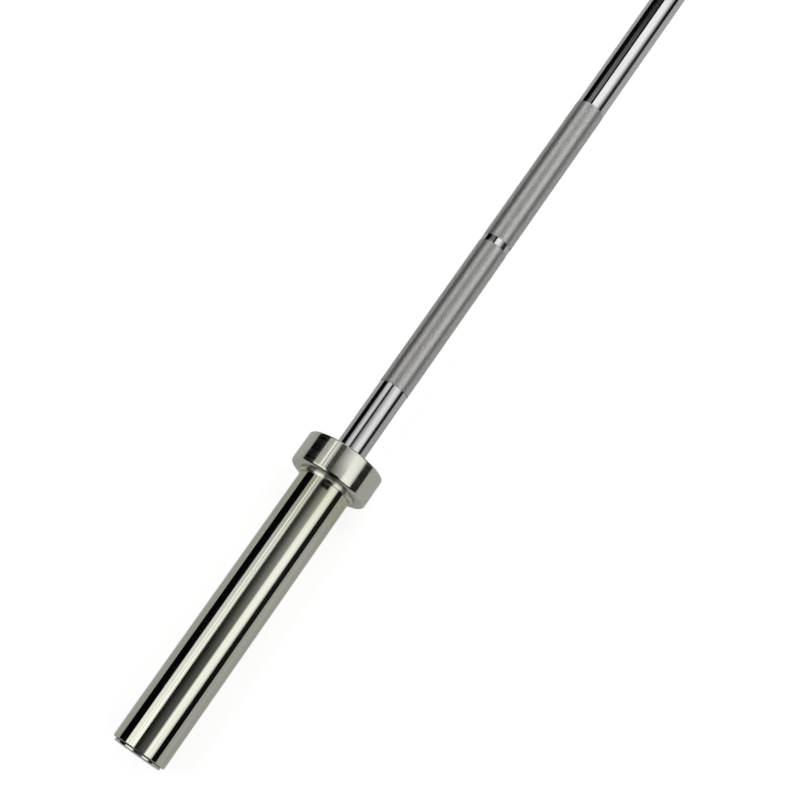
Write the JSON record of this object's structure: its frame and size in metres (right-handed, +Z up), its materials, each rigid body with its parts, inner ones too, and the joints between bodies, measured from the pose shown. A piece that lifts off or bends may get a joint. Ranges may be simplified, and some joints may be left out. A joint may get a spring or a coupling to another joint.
{
  "type": "olympic barbell",
  "caption": "Short olympic barbell: chromed steel bar with knurled grips and a free-spinning sleeve with a wide collar at each end for disc weights.",
  "frame": {"origin": "on the bar's axis, at the middle of its length", "axes": "+X along the bar towards its right sleeve, +Z up, +Y away from a lifter who faces the bar with the right sleeve at their right"},
  "size_m": [1.83, 0.075, 0.075],
  "materials": {
    "shaft_chrome": "bright chrome plate, satin where it is knurled",
    "sleeve_chrome": "polished plate with a slightly warm tone",
    "bush_bronze": "oiled sintered bronze",
    "bearing_steel": "ground bearing steel",
    "cage_steel": "pressed sheet steel",
    "spring_steel": "phosphated black spring steel"
  },
  "bodies": {
    "shaft": {"shaft": "shaft_chrome", "left_inner_thrust_washer": "bearing_steel", "left_outer_thrust_washer": "bearing_steel", "left_snap_ring": "spring_steel", "right_inner_thrust_washer": "bearing_steel", "right_outer_thrust_washer": "bearing_steel", "right_snap_ring": "spring_steel"},
    "left_sleeve": {"left_sleeve_tube": "sleeve_chrome", "left_collar": "sleeve_chrome", "left_bush": "bush_bronze", "left_needle_cup": "bearing_steel", "left_end_cap": "sleeve_chrome"},
    "left_cage": {"left_needle_cage": "cage_steel", "left_needles": "bearing_steel"},
    "right_sleeve": {"right_sleeve_tube": "sleeve_chrome", "right_collar": "sleeve_chrome", "right_bush": "bush_bronze", "right_needle_cup": "bearing_steel", "right_end_cap": "sleeve_chrome"},
    "right_cage": {"right_needle_cage": "cage_steel", "right_needles": "bearing_steel"}
  },
  "joints": [
    {"name": "left_sleeve_spin", "type": "hinge", "parent": "shaft", "child": "left_sleeve", "pos_m": [-0.7625, 0, 0], "axis": [1, 0, 0], "continuous": true},
    {"name": "right_sleeve_spin", "type": "hinge", "parent": "shaft", "child": "right_sleeve", "pos_m": [0.7625, 0, 0], "axis": [1, 0, 0], "continuous": true},
    {"name": "left_cage_spin", "type": "hinge", "parent": "shaft", "child": "left_cage", "pos_m": [-0.8881, 0, 0], "axis": [1, 0, 0], "continuous": true},
    {"name": "right_cage_spin", "type": "hinge", "parent": "shaft", "child": "right_cage", "pos_m": [0.8881, 0, 0], "axis": [1, 0, 0], "continuous": true}
  ],
  "couplings": [
    {"joint": "left_cage_spin", "follows": "left_sleeve_spin", "ratio": 0.55357},
    {"joint": "right_cage_spin", "follows": "right_sleeve_spin", "ratio": 0.55357}
  ]
}
